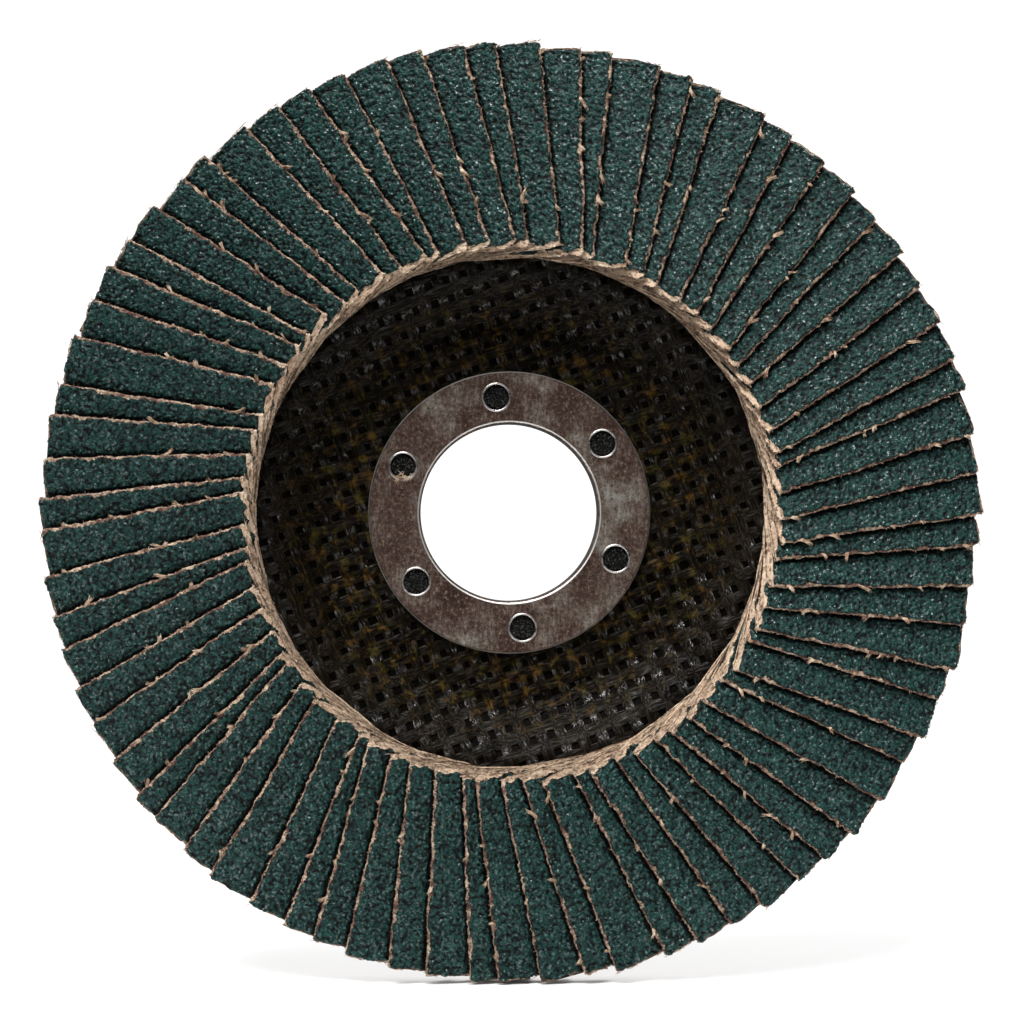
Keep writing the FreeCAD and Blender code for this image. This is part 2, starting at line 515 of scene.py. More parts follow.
def steel_material():
    """Zinc on pressed steel: stained brown and rubbed silver on one side. It has painted highlights as light
    rings at its edges, and painted shade, near black, in the bore.
    """
    material, tree, shader = new_material("zinc_steel")
    at = place(tree)
    side = graded(tree, split(tree, at)["X"], -6.0, 16.0, 0.06)
    stain = sums(tree, "ADD", noise(tree, 5.0, at, 5, 0.65), side)
    freckle = noise(tree, 0.46, at, 5, 0.85)
    brushed = noise(tree, 0.28, place(tree, (1, 1, 0.2)), 3, 0.6)
    tones = [
        (0.38, (0.062, 0.034, 0.026)),
        (0.52, (0.112, 0.069, 0.054)),
        (0.61, (0.200, 0.158, 0.126)),
        (0.72, (0.460, 0.430, 0.380)),
    ]
    tone = ramp(tree, stain, tones)
    base = mixed(tree, ramp(tree, freckle, [(0.50, 0.0), (0.62, 0.80)]), tone, (0.028, 0.018, 0.016))
    base = mixed(tree, ramp(tree, freckle, [(0.34, 0.80), (0.46, 0.0)]), base, (0.420, 0.335, 0.275))
    worn = ramp(tree, stain, [(0.46, 0.10), (0.70, 0.9)])
    streaks = times(tree, ramp(tree, brushed, [(0.50, 0.0), (0.72, 0.6)]), worn)
    base = mixed(tree, streaks, base, (0.620, 0.590, 0.540))
    radius = ring_distance(tree, at)
    # Painted highlights: light rings at the bore's edge and at the flange's edge.
    for edge_r, width, share in ((BORE_EDGE_R, 0.10, 0.8), (FLANGE_EDGE_R, 0.14, 0.6)):
        gap = sums(tree, "ABSOLUTE", sums(tree, "SUBTRACT", radius, edge_r * MM), 0.0)
        near = ramp(tree, sums(tree, "DIVIDE", gap, width * MM), [(0.7, 1.0), (1.0, 0.0)])
        base = mixed(tree, times(tree, near, share), base, (0.820, 0.800, 0.770))
    # Painted shade: the bore's rim and wall are near black, not metallic and fully rough.
    bore = graded(tree, radius, BORE_SHADE_START_R, BORE_SHADE_FULL_R)
    base = mixed(tree, bore, base, (0.030, 0.026, 0.024))
    tree.links.new(base, shader.inputs["Base Color"])
    tree.links.new(sums(tree, "SUBTRACT", 1.0, bore), shader.inputs["Metallic"])
    shader.inputs["Specular IOR Level"].default_value = 0.1
    pitted = ramp(tree, freckle, [(0.3, 0.34), (0.7, 0.62)])
    rough = mixed(tree, 0.5, pitted, ramp(tree, stain, [(0.4, 0.60), (0.8, 0.36)]))
    tree.links.new(mixed(tree, bore, rough, grey(1.0)), shader.inputs["Roughness"])
    bump(tree, shader, [(freckle, 0.025, 0.7), (noise(tree, 3.0, at, 2), 0.05, 0.4), (brushed, 0.012, 0.6)])
    return material


def bright_steel_material():
    """Steel rubbed bright on sharp edges."""
    material, tree, shader = new_material("rubbed_steel")
    at = place(tree)
    base = ramp(tree, noise(tree, 0.6, at, 3), [(0.3, (0.45, 0.42, 0.40)), (0.7, (0.78, 0.76, 0.74))])
    tree.links.new(base, shader.inputs["Base Color"])
    shader.inputs["Metallic"].default_value = 1.0
    rough = ramp(tree, noise(tree, 0.4, at, 2), [(0.3, 0.22), (0.7, 0.42)])
    tree.links.new(rough, shader.inputs["Roughness"])
    bump(tree, shader, [(noise(tree, 0.3, at, 2), 0.01, 0.5)])
    return material


def epoxy_material():
    """Cured amber epoxy with dust in it."""
    material, tree, shader = new_material("cured_epoxy")
    at = place(tree)
    base = ramp(tree, noise(tree, 1.4, at, 3), [(0.3, (0.075, 0.042, 0.018)), (0.7, (0.230, 0.140, 0.062))])
    tree.links.new(base, shader.inputs["Base Color"])
    tree.links.new(ramp(tree, noise(tree, 0.8, at, 2), [(0.3, 0.22), (0.7, 0.5)]), shader.inputs["Roughness"])
    bump(tree, shader, [(noise(tree, 0.7, at, 3), 0.15, 0.7)])
    return material


def label_material():
    """Plain pressed paper with a printed border, marked by the weave under it."""
    material, tree, shader = new_material("label_paper")
    at = place(tree)
    creams = [(0.3, (0.560, 0.540, 0.480)), (0.7, (0.720, 0.700, 0.640))]
    marks = ramp(tree, noise(tree, 0.7, at, 4, 0.7), [(0.58, 0.0), (0.75, 0.5)])
    paper = ramp(tree, noise(tree, 5.0, at, 4, 0.6), creams)
    paper = mixed(tree, marks, paper, (0.250, 0.220, 0.180))
    border = tree.nodes.new("ShaderNodeMath")
    border.operation = "COMPARE"
    border.inputs[1].default_value = 20.3 * MM
    border.inputs[2].default_value = 0.9 * MM
    tree.links.new(ring_distance(tree, at), border.inputs[0])
    base = mixed(tree, times(tree, border.outputs[0], 0.9), paper, (0.020, 0.085, 0.075))
    tree.links.new(base, shader.inputs["Base Color"])
    shader.inputs["Roughness"].default_value = 0.7
    woven = cells(tree, STRAND_PITCH, place(tree, (1, 0.2, 1), WEAVE_ANGLE), "SMOOTH_F1")
    bump(tree, shader, [(woven, 0.25, 0.35), (noise(tree, 0.15, at, 3), 0.02, 0.5)])
    return material


grain = grain_material()
cloth = cloth_material("backing_cloth", False)
edge_cloth = cloth_material("soiled_edge_cloth", True)
thread = thread_material()
strand_along = strand_material("glass_strand_along", (0.1, 1, 1), 0.12)
strand_across = strand_material("glass_strand_across", (1, 1, 0.1), 0.95)
resin = resin_material()
plug_resin = plug_material()
ply_edge = ply_edge_material()
steel = steel_material()
bright_steel = bright_steel_material()
epoxy = epoxy_material()
label = label_material()


# ---------------------------------------------------------------- flaps

def grain_tile():
    """A repeating square of packed, faceted grains, as heights from 0 to 1."""
    step, count = GRAIN_TILE_STEP, GRAIN_TILE_COUNT
    tile = np.zeros((count, count))
    reach = 7
    offsets = np.arange(-reach, reach + 1)
    dx, dy = np.meshgrid(offsets * step, offsets * step, indexing="ij")
    side = int(count * step / GRAIN_PITCH * 1.15)
    for i in range(side):
        for j in range(side):
            centre = (np.array([i, j]) + chance.uniform(-0.55, 0.55, 2) + 0.5) * count / side
            cell = np.round(centre).astype(int)
            peak = chance.uniform(0.45, 1.0)
            height = np.full(dx.shape, peak)
            turn = chance.uniform(0, 2 * math.pi)
            for k in range(4):
                angle = turn + k * math.pi / 2 + chance.uniform(-0.5, 0.5)
                slope = chance.uniform(1.2, 4.5)
                flat = chance.uniform(0.0, 0.08)
                plane = peak - slope * (dx * math.cos(angle) + dy * math.sin(angle) - flat)
                height = np.minimum(height, plane)
            rows = (cell[0] + offsets) % count
            columns = (cell[1] + offsets) % count
            window = np.ix_(rows, columns)
            tile[window] = np.maximum(tile[window], height)
    return np.clip(tile, 0, 1)


GRAIN_TILE = grain_tile()
FUZZ_TILE = chance.uniform(-1, 1, (256, 256))


def sampled(tile, step, along, across):
    """Heights of a repeating tile at the crossings of two lines of positions in mm."""
    rows = (along / step)[:, None] % tile.shape[0]
    columns = (across / step)[None, :] % tile.shape[1]
    low_row, low_column = np.floor(rows).astype(int), np.floor(columns).astype(int)
    row_share, column_share = rows - low_row, columns - low_column
    next_row, next_column = (low_row + 1) % tile.shape[0], (low_column + 1) % tile.shape[1]
    near = tile[low_row, low_column] * (1 - column_share) + tile[low_row, next_column] * column_share
    far = tile[next_row, low_column] * (1 - column_share) + tile[next_row, next_column] * column_share
    return near * (1 - row_share) + far * row_share


class Flap:
    """One CAD flap: its corners, and places on it by share of length, width and thickness."""

    def __init__(self, points, node_name):
        self.node_name = node_name
        middle = points.mean(axis=0)
        rough = math.atan2(middle[0], middle[2])
        guess = round((rough - FIRST_FLAP_TURN) / FLAP_PITCH)
        candidates = [(k, FIRST_FLAP_TURN + k * FLAP_PITCH) for k in (guess - 1, guess, guess + 1)]
        best = max(candidates, key=lambda c: self.end_points(points, c[1]).sum())
        self.index = best[0] % FLAP_COUNT
        turn = best[1]
        self.outward = np.array([math.sin(turn), 0, math.cos(turn)])
        self.clockwise = np.array([math.cos(turn), 0, -math.sin(turn)])
        inner = points[self.end_points(points, turn)]
        distance = points @ self.outward
        outer = points[distance > distance.max() - 0.002]
        self.corners = np.array([self.end_corners(inner), self.end_corners(outer)])
        self.length = np.linalg.norm(self.corners[1, 0, 0] - self.corners[0, 0, 0])
        self.width = np.linalg.norm(self.corners[:, 1, 0] - self.corners[:, 0, 0], axis=1).mean()
        self.thickness = np.linalg.norm(self.corners[0, 0, 1] - self.corners[0, 0, 0])

    @staticmethod
    def end_points(points, turn):
        distance = points @ np.array([math.sin(turn), 0, math.cos(turn)])
        return distance < distance.min() + 0.002

    def end_corners(self, end):
        """Root and free corners of one end, each with its lower (rear) and upper (front) point."""
        side = end @ self.clockwise
        height = -end[:, 1]
        root_low, root_high = end[height.argmin()], end[side.argmin()]
        free_low, free_high = end[side.argmax()], end[height.argmax()]
        return [[root_low, root_high], [free_low, free_high]]

    def beyond_free_edge(self, points):
        """How far points lie clockwise of this flap's free edge, seen from the front."""
        start, end = self.corners[0, 1, 1], self.corners[1, 1, 1]
        run_x, run_z = end[0] - start[0], end[2] - start[2]
        gap_x, gap_z = points[..., 0] - start[0], points[..., 2] - start[2]
        return (gap_x * run_z - gap_z * run_x) / math.hypot(run_x, run_z)

    def at(self, u, v, w):
        """Points at shares u of the length, v of the width from the root and w of the thickness."""
        u, v, w = (np.asarray(x, dtype=float)[..., None] for x in (u, v, w))
        ends = []
        for corners in self.corners:
            low = corners[0][0] * (1 - v) + corners[1][0] * v
            high = corners[0][1] * (1 - v) + corners[1][1] * v
            ends.append(low * (1 - w) + high * w)
        return ends[0] * (1 - u) + ends[1] * u


def spaced(length, edge, middle, edge_width):
    """Positions along a length, edge apart near both ends and middle apart between."""
    ends = np.arange(0, edge_width, edge)
    inside = np.linspace(edge_width, length - edge_width, int((length - 2 * edge_width) / middle) + 1)
    return np.concatenate([ends, inside, length - ends[::-1]])


def build_flap(flap, cover):
    """The flap as one closed mesh: cloth below and round the edges, a chipped coat of grain on top.

    cover is the neighbour whose free edge lies over this flap. Beside that edge the flap sags, and its grain
    there gets painted shade.
    """
    along = spaced(flap.length, EDGE_STEP, TOP_STEP, 0.56)
    from_free = np.concatenate([
        np.arange(0, 1.0, 0.1),
        np.arange(1.0, EXPOSED_WIDTH, TOP_STEP),
        np.linspace(EXPOSED_WIDTH, flap.width, 9),
    ])
    rows, columns = len(along), len(from_free)
    offset = chance.uniform(0, 20, 2)
    grain_height = sampled(GRAIN_TILE, GRAIN_TILE_STEP, along + offset[0], from_free + offset[1])
    fuzz = sampled(FUZZ_TILE, FUZZ_TILE_STEP, along + offset[1], from_free + offset[0])

    # How much cloth the chipped coat leaves bare along the free edge and at the two ends.
    free_margin = 0.10 + wander(rows, TOP_STEP, 1.4, 0.22) + wander(rows, TOP_STEP, 0.35, 0.18)
    free_margin = np.clip(free_margin, 0.02, 0.7)
    inner_margin = np.clip(0.44 + wander(columns, SECTION_STEP, 1.0, 0.28), 0.12, 1.1)
    outer_margin = np.clip(0.08 + wander(columns, SECTION_STEP, 1.1, 0.16), 0.0, 0.4)
    inside_free = from_free[None, :] - free_margin[:, None]
    inside_inner = along[:, None] - inner_margin[None, :]
    inside_outer = (flap.length - along)[:, None] - outer_margin[None, :]
    inside_root = (flap.width - from_free)[None, :] - ROOT_BARE
    coated = np.minimum(np.minimum(inside_free, inside_inner), np.minimum(inside_outer, inside_root))
    coat = np.clip(coated / 0.12 + 0.5, 0, 1)

    grain_top = 1.0 - GRAIN_DEPTH / flap.thickness * (1 - grain_height)
    cloth_top = CLOTH_SHARE + 0.06 * fuzz
    top_w = cloth_top * (1 - coat) + grain_top * coat

    # The free edge wanders. The flap sags beside the edge that covers it, and its grain there gets painted
    # shade, except at the wall.
    edge_line = wander(rows, TOP_STEP, 5.0, 0.13) + wander(rows, TOP_STEP, 0.6, 0.10)
    edge_line = edge_line + chance.uniform(-0.07, 0.07, rows)
    near_free = np.clip(1 - from_free / 1.5, 0, 1)
    top_v = 1 - (from_free[None, :] - edge_line[:, None] * near_free[None, :]) / flap.width
    top_u = np.repeat((along / flap.length)[:, None], columns, axis=1)
    beyond = cover.beyond_free_edge(flap.at(top_u, top_v, top_w)) + 0.12 * fuzz
    from_wall = np.clip((along - 0.4) / 1.5, 0, 1)[:, None]
    top_w = top_w - SAG_DEPTH / flap.thickness * from_wall * np.clip(1 - beyond / SAG_REACH, 0, 1) ** 2
    # Painted shade: this share falls to 0 in a band beside the covering edge, away from the wall, and
    # blackens the grain there.
    unshaded = np.maximum(np.clip((beyond - 0.32) / 0.45, 0, 1), 1 - from_wall)

    # The section loop: top from the free edge to the root, down, back under, and up the free edge.
    under_v = np.linspace(0, 1, UNDER_POINTS)
    under_w = np.full((rows, UNDER_POINTS), 0.02)
    side_w = np.tile([0.12, 0.34], (rows, 1))
    edge_shift = (edge_line / flap.width)[:, None]
    under_v_rows = under_v[None, :] + edge_shift * under_v ** 8
    side_bulge = (0.05 + wander(rows, TOP_STEP, 0.6, 0.05)) / flap.width
    side_v = 1 + (edge_line / flap.width + side_bulge)[:, None] + np.zeros((rows, 2))
    loop_v = np.concatenate([top_v, under_v_rows, side_v], axis=1)
    loop_w = np.concatenate([top_w, under_w, side_w], axis=1)
    loop = loop_v.shape[1]
    loop_u = np.repeat((along / flap.length)[:, None], loop, axis=1)
    worn_corner = CORNER_WEAR * np.clip(1 - np.abs(1 - loop_v.mean(axis=0)) * flap.width / 0.5, 0, 1) ** 2
    for end, size in ((0, 0.14), (1, 0.20)):
        shift = wander(loop, SECTION_STEP, 1.5, size) + chance.uniform(-0.10, 0.10, loop)
        shift += worn_corner * (1 - 2 * end) - 0.22 * (1 - end)
        near_end = np.clip(1 - np.abs(along - end * flap.length) / 0.5, 0, 1)
        loop_u += near_end[:, None] * shift[None, :] / flap.length
    points = flap.at(loop_u, loop_v, loop_w).reshape(-1, 3)

    faces = grid_faces(rows, loop, closed_columns=True)
    finish = np.full((rows - 1, loop), SOILED)
    covered = (coat[:-1, :-1] + coat[1:, :-1] + coat[:-1, 1:] + coat[1:, 1:]) / 4
    finish[:, :columns - 1][covered > 0.4] = GRAINED
    finish[(coat[:-1, 0] + coat[1:, 0]) / 2 > 0.4, -1] = GRAINED
    finish[(along[:-1] < 0.5)[:, None] & (finish == SOILED)] = CLEAN
    face_materials = finish.reshape(-1).tolist()
    first_end = list(range(loop))
    last_end = [(rows - 1) * loop + k for k in range(loop)][::-1]
    faces += [first_end, last_end]
    face_materials += [CLEAN, SOILED]
    # The height value is the grain's height, set to 0 in that painted shade band. The grain material paints
    # low heights black as shade.
    height = np.zeros((rows, loop))
    height[:, :columns] = grain_height * coat * unshaded
    name = f"flap_{flap.index + 1:02d}"
    piece = mesh_object(name, points, faces, [edge_cloth, grain, cloth], face_materials, height.reshape(-1))
    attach(piece, "root")
    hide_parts(flap.node_name)
    return free_margin, along, edge_line


def fibre_mesh(starts, directions, lengths, radii, curl):
    """Tapered three-sided fibres as points and faces, all at once."""
    count = len(starts)
    directions = directions / np.linalg.norm(directions, axis=1, keepdims=True)
    bend = chance.normal(0, 1, (count, 3))
    bend -= (bend * directions).sum(axis=1, keepdims=True) * directions
    bend /= np.linalg.norm(bend, axis=1, keepdims=True)
    side = np.cross(directions, bend)
    share = np.linspace(0, 1, FIBRE_SEGMENTS + 1)
    swing = (chance.uniform(-1, 1, count) * curl * lengths)[:, None]
    ripple = (chance.uniform(-0.3, 0.3, count) * curl * lengths)[:, None]
    centre = (
        starts[:, None, :]
        + directions[:, None, :] * (lengths[:, None] * share)[..., None]
        + bend[:, None, :] * (swing * share ** 2)[..., None]
        + side[:, None, :] * (ripple * np.sin(share * 5))[..., None]
    )
    thick = radii[:, None] * (1 - 0.65 * share ** 2)
    points = []
    for k in range(3):
        angle = 2 * math.pi * k / 3
        ring = bend[:, None, :] * math.cos(angle) + side[:, None, :] * math.sin(angle)
        points.append(centre + ring * thick[..., None])
    points = np.stack(points, axis=2).reshape(-1, 3)
    side_faces = np.array(grid_faces(FIBRE_SEGMENTS + 1, 3, closed_columns=True))
    tip = FIBRE_SEGMENTS * 3
    caps = np.array([[2, 1, 0], [tip, tip + 1, tip + 2]])
    base = (np.arange(count) * (tip + 3))[:, None, None]
    faces = (side_faces[None] + base).reshape(-1, 4).tolist() + (caps[None] + base).reshape(-1, 3).tolist()
    return points, faces


def flap_fibres(flap, free_margin, along, edge_line):
    """Short stubs and tufts on one flap's free edge, and stubs on its two ends."""
    up = flap.at(0.5, 0.9, 1.0) - flap.at(0.5, 0.9, 0.0)
    up /= np.linalg.norm(up)
    across = flap.at(0.5, 1.0, 0.5) - flap.at(0.5, 0.9, 0.5)
    across /= np.linalg.norm(across)
    starts, directions, lengths, radii, curls = [], [], [], [], []

    stubs = EDGE_STUBS
    u = chance.uniform(0, 1, stubs)
    margin = np.interp(u * flap.length, along, free_margin)
    edge = np.interp(u * flap.length, along, edge_line)
    depth = chance.uniform(0, 1, stubs) * margin
    starts.append(flap.at(u, 1 + (edge - depth) / flap.width, np.full(stubs, CLOTH_SHARE - 0.08)))
    directions.append(
        across * chance.uniform(-0.1, 0.8, stubs)[:, None]
        + up * chance.uniform(0.0, 0.35, stubs)[:, None]
        + flap.outward * chance.normal(0, 0.9, stubs)[:, None]
    )
    lengths.append(chance.uniform(0.15, 0.45, stubs))
    radii.append(chance.uniform(0.020, 0.042, stubs))
    curls.append(np.full(stubs, STUB_CURL))

    for _ in range(chance.integers(1, 5)):
        strands = chance.integers(16, 28)
        spot = chance.uniform(0.04, 0.96)
        spread = chance.uniform(0.12, 0.38)
        u = spot + chance.uniform(-spread, spread, strands) / flap.length
        edge = np.interp(spot * flap.length, along, edge_line)
        root_v = 1 + (edge - chance.uniform(0.0, 0.35, strands)) / flap.width
        roots = flap.at(u, root_v, np.full(strands, CLOTH_SHARE))
        lean = chance.choice([-1.0, 1.0]) * chance.uniform(0.2, 1.3)
        reach = chance.uniform(0.60, 1.35)
        tip = flap.at(spot, 1 + edge / flap.width, 0.9)
        tip = tip + (across * 0.75 + flap.outward * lean + up * 0.15) * reach
        starts.append(roots)
        directions.append(tip - roots + chance.normal(0, 0.11, (strands, 3)))
        lengths.append(np.linalg.norm(tip - roots, axis=1) * chance.uniform(0.6, 1.02, strands))
        radii.append(chance.uniform(0.028, 0.055, strands))
        curls.append(np.full(strands, TUFT_CURL))

    for end, outward_sign, stubs in ((0.0, -1, INNER_END_STUBS), (1.0, 1, OUTER_END_STUBS)):
        v = chance.uniform(0.02, 1, stubs)
        starts.append(flap.at(np.full(stubs, end), v, chance.uniform(0.05, CLOTH_SHARE, stubs)))
        directions.append(
            flap.outward * outward_sign * chance.uniform(0.0, 0.35, stubs)[:, None]
            + up * chance.normal(0, 0.30, stubs)[:, None]
            + across * chance.choice([-1.0, 1.0], stubs)[:, None]
        )
        lengths.append(chance.uniform(0.25, 0.8, stubs))
        radii.append(chance.uniform(0.03, 0.07, stubs))
        curls.append(np.full(stubs, STUB_CURL))
    return fibre_mesh(*(np.concatenate(part) for part in (starts, directions, lengths, radii, curls)))


def join_meshes(parts):
    """One list of points and one of faces from several."""
    points, faces, first = [], [], 0
    for part_points, part_faces in parts:
        points.append(part_points)
        faces += [[k + first for k in face] for face in part_faces]
        first += len(part_points)
    return np.concatenate(points), faces


def build_flaps():
    flaps = []
    for name in sorted(n for n in nodes if n.startswith("flaps_")):
        for points in loose_solids(nodes[name]):
            flaps.append(Flap(points, name))
    flaps.sort(key=lambda f: f.index)
    fibres = []
    for k, flap in enumerate(flaps):
        margin, along, edge_line = build_flap(flap, flaps[k - 1])
        fibres.append(flap_fibres(flap, margin, along, edge_line))
    group = FLAP_COUNT // THREAD_PIECES
    for k in range(THREAD_PIECES):
        points, faces = join_meshes(fibres[k * group:(k + 1) * group])
        piece = mesh_object(f"frayed_threads_{k + 1}", points, faces, [thread])
        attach(piece, "root")


# ---------------------------------------------------------------- woven plies

def strand_points(offset, phase, inner_r, outer_r, profile, side, crosswise, step):
    """Lines of points of one strand's flattened arch, cut to the ring between two radii."""
    half = math.sqrt(max(outer_r ** 2 - offset ** 2, 0))
    if half < 1:
        return []
    hole = math.sqrt(max(inner_r ** 2 - offset ** 2, 0))
    runs = [(-half, half)] if abs(offset) >= inner_r else [(-half, -hole), (hole, half)]
    direction = np.array([math.cos(WEAVE_ANGLE), math.sin(WEAVE_ANGLE)])
    normal = np.array([-direction[1], direction[0]])
    if crosswise:
        direction, normal = normal, -direction
    widths = np.array([-0.5, -0.46, -0.38, -0.2, 0.0, 0.2, 0.38, 0.46, 0.5])
    crown = np.array([0.0, 0.45, 0.80, 0.97, 1.0, 0.97, 0.80, 0.45, 0.0])
    lines = []
    for start, end in runs:
        count = int((end - start) / step)
        if count < 4:
            continue
        t = np.linspace(start, end, count)
        drift = wander(count, step, 7.0, 0.14)
        width = STRAND_WIDTH * (1 + wander(count, step, 3.0, 0.13))
        rise = STRAND_RISE * np.cos(math.pi * (t / STRAND_PITCH + phase))
        across = offset + drift[:, None] + widths[None, :] * width[:, None]
        flat = t[:, None, None] * direction + across[..., None] * normal
        x, z = flat[..., 0], flat[..., 1]
        radius = np.hypot(x, z)
        surface = np.interp(radius, *profile)
        lift = rise[:, None] - STRAND_RISE + (crown[None, :] - 1) * STRAND_CROWN
        lift = lift + wander(count, step, 0.8, 0.03)[:, None]
        y = surface + side * lift
        under = surface + side * (lift.min(axis=1, keepdims=True) - STRAND_DEPTH)
        top = np.stack([x, y, z], axis=-1)
        bottom = np.stack([x, under, z], axis=-1)[:, ::-1][:, 1:-1]
        lines.append(np.concatenate([top, bottom], axis=1))
    return lines


def woven_meshes(inner_r, outer_r, profile, side, step):
    """The two sets of strands over a ring of the plate, along and across, as a mesh each."""
    sets = []
    reach = int(outer_r / STRAND_PITCH) + 1
    for crosswise in (False, True):
        parts = []
        for k in range(-reach, reach + 1):
            offset = (k + 0.5) * STRAND_PITCH
            phase = k + (0.5 if crosswise else -0.5)
            for line in strand_points(offset, phase, inner_r, outer_r, profile, side, crosswise, step):
                rows, loop = line.shape[:2]
                faces = grid_faces(rows, loop, closed_columns=True)
                faces += [list(range(loop)), [(rows - 1) * loop + j for j in range(loop)][::-1]]
                parts.append((line.reshape(-1, 3), faces))
        sets.append(join_meshes(parts))
    return sets


def turned_mesh(outline, steps):
    """A closed ring from its (radius, y) outline."""
    outline = np.asarray(outline)
    angle = np.arange(steps) * 2 * math.pi / steps
    x = outline[None, :, 0] * np.sin(angle)[:, None]
    z = outline[None, :, 0] * np.cos(angle)[:, None]
    y = np.repeat(outline[None, :, 1], steps, axis=0)
    points = np.stack([x, y, z], axis=-1).reshape(-1, 3)
    return points, grid_faces(steps, len(outline), closed_rows=True, closed_columns=True)


def ply_core(front, rear, inner_r, outer_r, front_sink, rear_sink):
    """The ply's resin body between its two surfaces, sunk a little where strands lie on it."""
    radii = np.concatenate([
        np.arange(inner_r, 22.5, 1.0),
        np.arange(22.5, 32.5, 0.4),
        np.arange(32.5, outer_r, 2.0),
        [outer_r],
    ])
    front_y = np.interp(radii, *front) + front_sink(radii)
    rear_y = np.interp(radii, *rear) - rear_sink(radii)
    outline = list(zip(radii, front_y)) + list(zip(radii[::-1], rear_y[::-1]))
    return turned_mesh(outline, 240)


def key_centre(k):
    """The x and z of the middle of a keying hole, counted clockwise from the top one."""
    turn = math.radians(KEY_TURN + KEY_SPACING * k)
    return KEY_CIRCLE_R * math.sin(turn), KEY_CIRCLE_R * math.cos(turn)


def key_plugs(front_y):
    """Resin in the flange's six keying holes, a little rough on top."""
    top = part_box("steel_bushing")[0][1] / MM + PLUG_HEIGHT
    parts = []
    rings = (0.0, 0.35, 0.7, 1.0, 1.25, 1.45, PLUG_R)
    around = np.arange(PLUG_SIDES) * 2 * math.pi / PLUG_SIDES
    for k in range(KEY_COUNT):
        centre_x, centre_z = key_centre(k)
        points = []
        for ring in rings:
            inside = ring < KEY_HOLE_R - 0.05
            rough = chance.uniform(-0.12, 0.12, PLUG_SIDES) if inside else np.full(PLUG_SIDES, 0.1)
            x = centre_x + ring * np.sin(around)
            z = centre_z + ring * np.cos(around)
            points.append(np.stack([x, top + rough, z], axis=-1))
        points.append(np.stack([x, np.full(PLUG_SIDES, front_y + 0.05), z], axis=-1))
        points = np.concatenate(points)
        points[:PLUG_SIDES] = points[:PLUG_SIDES].mean(axis=0)
        faces = grid_faces(len(rings) + 1, PLUG_SIDES, closed_columns=True)
        faces.append([len(rings) * PLUG_SIDES + j for j in range(PLUG_SIDES)])
        parts.append((points, faces))
    return join_meshes(parts)


def build_plies():
    """The front and rear plies: a resin body and two sets of strands each, and plugs in the front one."""
    front = surface_profile("glass_ply_front", -1)
    off_bosses = (front[0] < 12.5) | (front[0] > 17.0)
    front = (front[0][off_bosses], front[1][off_bosses])
    behind_front = surface_profile("glass_ply_inner_front", -1)
    rear = surface_profile("glass_ply_rear", 1)
    before_rear = surface_profile("glass_ply_inner_rear", 1)
    plate_r = front[0].max()
    sleeve_r = front[0].min()
    flange_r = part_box("steel_bushing")[1][0] / MM
    label_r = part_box("rear_label")[1][0] / MM

    def ply_piece(name, mesh, materials, node_name, face_materials=None):
        piece = mesh_object(name, *mesh, materials, face_materials)
        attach(piece, "root")
        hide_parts(node_name)

    core = ply_core(
        front, behind_front, sleeve_r, plate_r,
        lambda r: np.where((r > flange_r - 1) & (r < FLAPS_INNER_R), STRAND_SINK, 0.0), lambda r: r * 0,
    )
    along, across = woven_meshes(flange_r - 0.5, WEAVE_OUTER_R, front, -1, FRONT_STRAND_STEP)
    plugs = key_plugs(front[1][0])
    on_plug = [0] * len(core[1]) + [1] * len(plugs[1])
    ply_piece("front_ply_resin", join_meshes([core, plugs]), [resin, plug_resin], "glass_ply_front", on_plug)
    ply_piece("front_ply_strands_along", along, [strand_along], "glass_ply_front")
    ply_piece("front_ply_strands_across", across, [strand_across], "glass_ply_front")

    core = ply_core(
        before_rear, rear, sleeve_r, plate_r, lambda r: r * 0,
        lambda r: np.where(r > label_r - 1, STRAND_SINK, 0.0),
    )
    along, across = woven_meshes(label_r - 0.4, plate_r - 0.2, rear, 1, REAR_STRAND_STEP)
    ply_piece("rear_ply_resin", core, [resin], "glass_ply_rear")
    ply_piece("rear_ply_strands_along", along, [strand_along], "glass_ply_rear")
    ply_piece("rear_ply_strands_across", across, [strand_across], "glass_ply_rear")


def build_edge_burrs():
    """Thin raised lips round the flange's punched holes, and a scrap of lint caught in one."""
    front_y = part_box("steel_bushing")[0][1] / MM
    outline = [
        (BURR_R - BURR_WIDTH / 2, front_y + 0.02),
        (BURR_R - BURR_WIDTH / 4, front_y - BURR_HEIGHT),
        (BURR_R + BURR_WIDTH / 4, front_y - BURR_HEIGHT),
        (BURR_R + BURR_WIDTH / 2, front_y + 0.02),
    ]
    parts = []
    for k in range(KEY_COUNT):
        points, faces = turned_mesh(outline, 40)
        points[:, 0] += key_centre(k)[0]
        points[:, 2] += key_centre(k)[1]
        parts.append((points, faces))
    piece = mesh_object("flange_burrs", *join_meshes(parts), [bright_steel])
    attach(piece, "root")

    # The scrap lies at the lower edge of the hole before the top one.
    centre_x, centre_z = key_centre(-1)
    count = LINT_STRANDS
    starts = np.stack([
        centre_x + chance.normal(-0.05, 0.42, count),
        np.full(count, front_y - 0.06) - chance.uniform(0, 0.12, count),
        centre_z - 1.45 + chance.normal(0, 0.22, count),
    ], axis=-1)
    directions = np.stack([
        chance.normal(-0.3, 0.8, count),
        chance.uniform(-0.10, 0.02, count),
        chance.normal(-0.2, 0.6, count),
    ], axis=-1)
    lengths = chance.uniform(0.3, 1.0, count)
    radii = chance.uniform(0.03, 0.06, count)
    scrap = fibre_mesh(starts, directions, lengths, radii, STUB_CURL)
    piece = mesh_object("lint_scrap", *scrap, [thread])
    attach(piece, "root")


